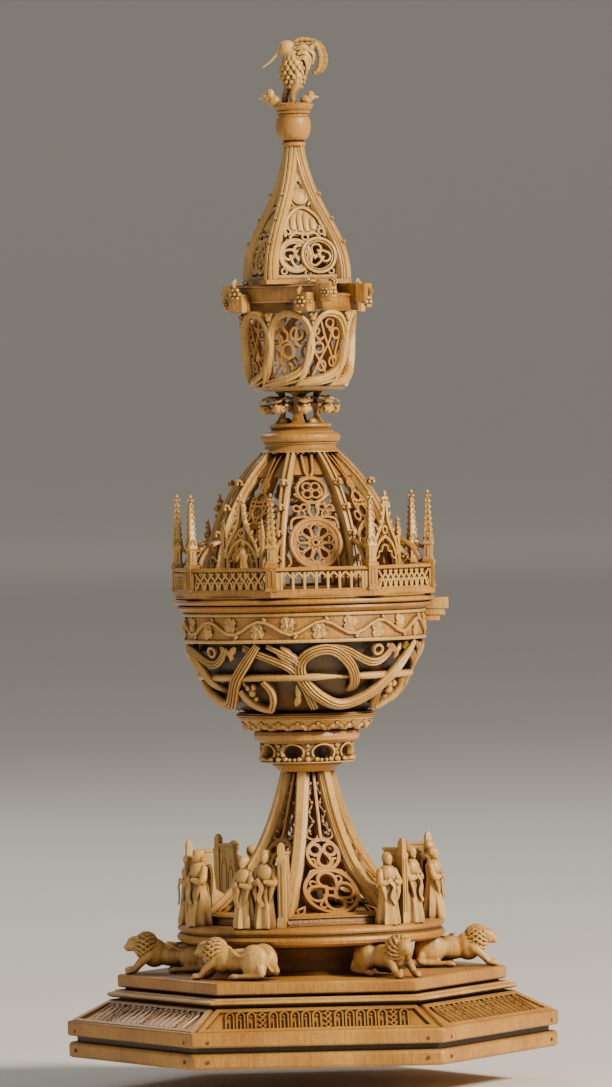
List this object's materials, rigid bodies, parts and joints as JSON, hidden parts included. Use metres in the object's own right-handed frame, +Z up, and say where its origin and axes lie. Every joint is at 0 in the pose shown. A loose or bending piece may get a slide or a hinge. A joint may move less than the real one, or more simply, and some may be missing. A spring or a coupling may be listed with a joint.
{
  "type": "covered baptismal font",
  "caption": "Carved wooden covered font: hexagonal foot with lions, openwork stem, strapwork bowl, gabled lift-off cover and lift-off spire with a bird.",
  "frame": {"origin": "middle of the underside of the hexagonal foot, on the surface it stands on", "axes": "+Z up the axis of the stem, -Y towards the front side of the foot, +X to the right seen from the front"},
  "size_m": [0.1274, 0.1104, 0.262],
  "materials": {
    "boxwood": "satin, knife-cut and lightly polished",
    "boxwood_pale": "satin, worn paler on the raised carving",
    "boxwood_deep": "satin, darkened in the recesses"
  },
  "bodies": {
    "base": {"foot_plate": "boxwood", "foot_groove": "boxwood_deep", "foot_upper_plate": "boxwood", "foot_core": "boxwood_deep", "foot_panels": "boxwood", "foot_moulding": "boxwood_pale", "foot_pegs": "boxwood_deep", "tier_slab": "boxwood", "lions": "boxwood_pale", "foot_drum": "boxwood_deep", "foot_disc": "boxwood", "stem_plinth": "boxwood", "stem_ribs": "boxwood_pale", "stem_windows": "boxwood", "stem_core": "boxwood_deep", "stem_piers": "boxwood_pale", "stem_figures": "boxwood_pale", "stem_capital": "boxwood", "collar": "boxwood_pale", "collar_ring": "boxwood", "leaf_ring": "boxwood_pale", "bowl_foot_ring": "boxwood", "bowl_basin": "boxwood_deep", "bowl_straps": "boxwood", "bowl_rope": "boxwood_pale", "frieze_band": "boxwood", "frieze_ornament": "boxwood_pale", "rim_moulding": "boxwood", "rim_lug": "boxwood_pale"},
    "cover": {"cover_floor": "boxwood", "gallery_rail": "boxwood", "gallery_arcades": "boxwood_pale", "gallery_lattices": "boxwood_pale", "gallery_piers": "boxwood", "pinnacles": "boxwood_pale", "pinnacle_arms": "boxwood", "cover_ribs": "boxwood_pale", "cover_rose_windows": "boxwood", "cover_niches": "boxwood", "niche_gables": "boxwood_pale", "niche_figures": "boxwood_pale", "cover_crockets": "boxwood_pale", "neck_ring": "boxwood", "knop_post": "boxwood", "knop_leaves": "boxwood_pale", "lantern_dish": "boxwood", "lantern_shell": "boxwood_pale", "lantern_tracery": "boxwood", "band_bars": "boxwood", "band_pegs": "boxwood_deep"},
    "spire": {"spire_plate": "boxwood", "spire_ribs": "boxwood_pale", "spire_panels": "boxwood", "spire_crockets": "boxwood_pale", "spire_neck_ring": "boxwood", "finial_ball": "boxwood_deep", "nest": "boxwood", "chicks": "boxwood_pale", "bird": "boxwood_pale"}
  },
  "joints": [
    {"name": "cover_lift", "type": "slide", "parent": "base", "child": "cover", "axis": [0, 0, 1], "range_m": [0, 0.06]},
    {"name": "spire_lift", "type": "slide", "parent": "cover", "child": "spire", "axis": [0, 0, 1], "range_m": [0, 0.04]}
  ]
}
